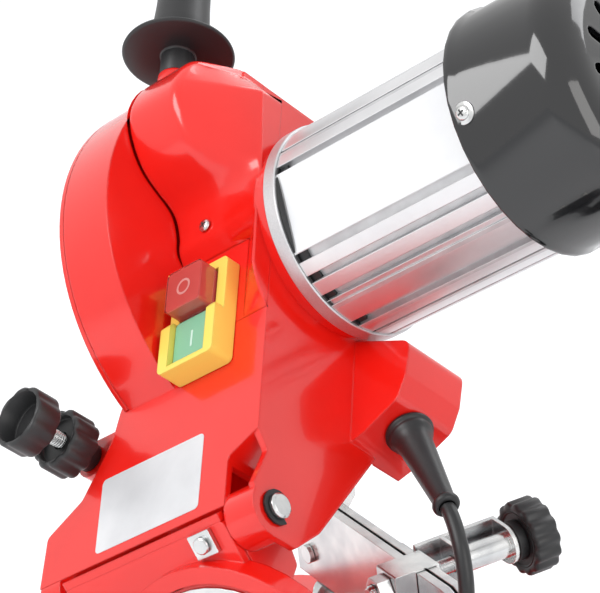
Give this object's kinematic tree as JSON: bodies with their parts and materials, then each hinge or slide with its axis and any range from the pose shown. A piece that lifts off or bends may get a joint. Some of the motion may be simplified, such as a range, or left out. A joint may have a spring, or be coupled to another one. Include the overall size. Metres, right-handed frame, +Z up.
{
  "type": "saw chain sharpener",
  "caption": "Tabletop electric sharpener for saw chains: a motor head with a thin grinding wheel swings down on a tilting bracket to a turning vise that grips the chain.",
  "frame": {"origin": "middle of the footprint of the object without its cord, on the surface that it stands on", "axes": "+Z up, +Y towards the operator and the vise, +X towards the side that the motor points to"},
  "size_m": [0.4025, 0.2836, 0.3841],
  "materials": {
    "red_paint": "gloss",
    "black_plastic": "satin",
    "black_gloss": "gloss",
    "zinc": "satin",
    "steel": "satin",
    "aluminium": "satin",
    "copper": "satin",
    "abrasive": "matte",
    "yellow": "satin",
    "red_button": "gloss",
    "green_button": "satin",
    "rubber": "matte"
  },
  "bodies": {
    "base": {"base_casting": "red_paint", "tilt_scale_plate": "zinc", "vise_scale_plate": "zinc", "power_cord_lower": "rubber", "cord_coil": "rubber", "mains_plug": "rubber"},
    "bracket": {"tilt_bracket": "red_paint", "hinge_pin": "zinc", "circlip_near": "steel", "circlip_far": "steel", "return_spring": "steel", "stop_plate": "zinc", "stop_plate_screw": "zinc", "tilt_bolt": "zinc"},
    "tilt_knob": {"tilt_lock_knob": "black_plastic"},
    "head": {"head_casting": "red_paint", "wheel_cover": "red_paint", "arm_back_cover": "black_plastic", "motor_flange_ring": "aluminium", "motor_body": "aluminium", "stator": "copper", "bearing_front": "steel", "bearing_rear": "steel", "motor_end_shield": "aluminium", "motor_end_cap": "black_gloss", "capacitor": "aluminium", "switch_frame": "yellow", "switch_body": "black_plastic", "handle": "black_plastic", "handle_stud": "zinc", "strain_relief": "rubber", "power_cord_upper": "rubber"},
    "spindle": {"rotor_shaft": "steel", "grinding_wheel": "abrasive", "wheel_flange_inner": "steel", "wheel_flange_outer": "steel", "wheel_nut": "zinc", "cooling_fan": "black_plastic"},
    "stop_key": {"stop_button": "red_button"},
    "start_key": {"start_button": "green_button"},
    "depth_stud": {"stop_stud": "zinc"},
    "depth_grip": {"depth_knob": "black_plastic"},
    "depth_lock": {"stop_lock_knob": "black_plastic"},
    "turntable": {"vise_turntable": "zinc", "swivel_bolt": "zinc", "pivot_bolt": "zinc", "pivot_nut": "zinc"},
    "swivel_knob": {"swivel_lock_knob": "black_plastic"},
    "vise": {"rail_fixed": "zinc", "clamp_bracket": "zinc", "chain_stop_bracket": "zinc", "pawl_pin": "zinc", "guide_pin_left": "zinc", "guide_pin_right": "zinc"},
    "jaw": {"rail_moving": "zinc", "clamp_block": "zinc", "clamp_screw": "zinc", "clamp_nut": "zinc"},
    "clamp_grip": {"clamp_knob": "black_plastic"},
    "pawl": {"chain_stop_pawl": "zinc"}
  },
  "joints": [
    {"name": "bracket_tilt", "type": "hinge", "parent": "base", "child": "bracket", "pos_m": [0.0284, -0.09475, 0.07636], "axis": [0, -1, 0], "range_deg": [-32.4, 2.6], "deforming": ["power_cord_upper", "power_cord_lower"]},
    {"name": "tilt_knob_turn", "type": "hinge", "parent": "bracket", "child": "tilt_knob", "pos_m": [0.0284, -0.12875, 0.07636], "axis": [0, 1, 0], "range_deg": [-180, 0]},
    {"name": "head_swing", "type": "hinge", "parent": "bracket", "child": "head", "pos_m": [0.03908, -0.09475, 0.167], "axis": [-0.8442, 0, -0.536], "range_deg": [0, 17], "stiffness_Nm_per_rad": 6, "springref_deg": -57.3, "deforming": ["return_spring", "power_cord_upper", "power_cord_lower"]},
    {"name": "spindle_spin", "type": "hinge", "parent": "head", "child": "spindle", "pos_m": [-0.01191, 0.03523, 0.24731], "axis": [0.8442, 0, 0.536], "continuous": true},
    {"name": "stop_press", "type": "slide", "parent": "head", "child": "stop_key", "axis": [0.3876, 0.6908, -0.6105], "range_m": [0, 0.003], "stiffness_N_per_m": 400, "springref_m": -0.001},
    {"name": "start_press", "type": "slide", "parent": "head", "child": "start_key", "axis": [0.3876, 0.6908, -0.6105], "range_m": [0, 0.003], "stiffness_N_per_m": 400, "springref_m": -0.001},
    {"name": "depth_travel", "type": "slide", "parent": "head", "child": "depth_stud", "axis": [0.3876, 0.6908, -0.6105], "range_m": [-0.0125, 0]},
    {"name": "depth_turn", "type": "hinge", "parent": "depth_stud", "child": "depth_grip", "pos_m": [-0.10726, -0.08084, 0.17174], "axis": [0.3876, 0.6908, -0.6105], "range_deg": [-3600, 0]},
    {"name": "depth_lock_turn", "type": "hinge", "parent": "head", "child": "depth_lock", "pos_m": [-0.09757, -0.06357, 0.15648], "axis": [0.3876, 0.6908, -0.6105], "range_deg": [-180, 0]},
    {"name": "vise_turn", "type": "hinge", "parent": "base", "child": "turntable", "pos_m": [-0.00762, 0.05155, 0.036], "axis": [0, 0, 1], "range_deg": [-5, 65]},
    {"name": "swivel_knob_turn", "type": "hinge", "parent": "turntable", "child": "swivel_knob", "pos_m": [-0.00762, 0.05155, 0.02], "axis": [0, 0, 1], "range_deg": [0, 180]},
    {"name": "vise_tilt", "type": "hinge", "parent": "turntable", "child": "vise", "pos_m": [-0.00762, 0.05155, 0.046], "axis": [0.866, -0.5, 0], "range_deg": [-7, 3]},
    {"name": "jaw_close", "type": "slide", "parent": "vise", "child": "jaw", "axis": [0.4963, 0.8596, 0.1219], "range_m": [0, 0.001]},
    {"name": "clamp_turn", "type": "hinge", "parent": "vise", "child": "clamp_grip", "pos_m": [0.07983, 0.06301, 0.10135], "axis": [0.4963, 0.8596, 0.1219], "range_deg": [0, 288]},
    {"name": "pawl_lift", "type": "hinge", "parent": "vise", "child": "pawl", "pos_m": [-0.03377, 0.07225, 0.10493], "axis": [-0.866, 0.5, 0], "range_deg": [0, 100]}
  ],
  "couplings": [
    {"joint": "clamp_turn", "follows": "jaw_close", "rad_per_m": 5026.5},
    {"joint": "depth_turn", "follows": "depth_travel", "rad_per_m": 5026.5}
  ]
}
